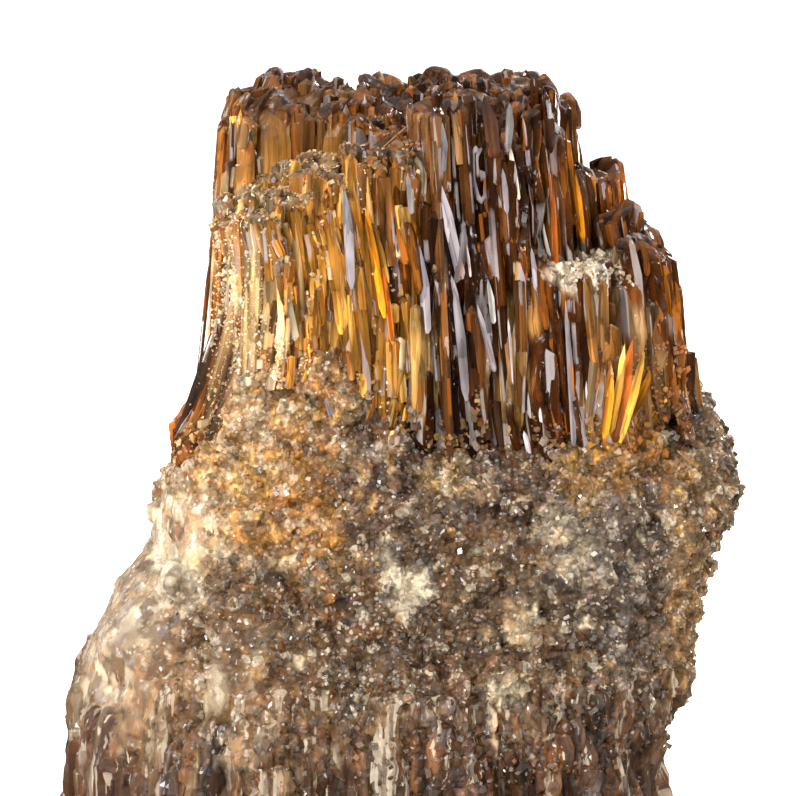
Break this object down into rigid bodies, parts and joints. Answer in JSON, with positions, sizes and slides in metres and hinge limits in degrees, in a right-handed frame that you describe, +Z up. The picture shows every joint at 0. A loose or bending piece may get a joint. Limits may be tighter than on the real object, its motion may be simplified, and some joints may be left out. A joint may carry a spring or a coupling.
{
  "type": "raw amber crystal specimen",
  "caption": "Raw amber-brown crystal specimen: upright glassy columns broken off at several heights, rising out of a lumpy sugary crust, with a flat cut base to stand on.",
  "frame": {"origin": "middle of the flat cut base, under the middle of the specimen's box", "axes": "+Z up along the crystal columns, -Y the specimen's front, +X to the right when seen from the front"},
  "size_m": [0.0684, 0.0442, 0.086],
  "materials": {
    "amber_crystal": "glassy amber-brown crystal, clear in thin edges, with a dull sugary crust below"
  },
  "bodies": {
    "root": {"raw_amber": "amber_crystal"}
  },
  "joints": []
}
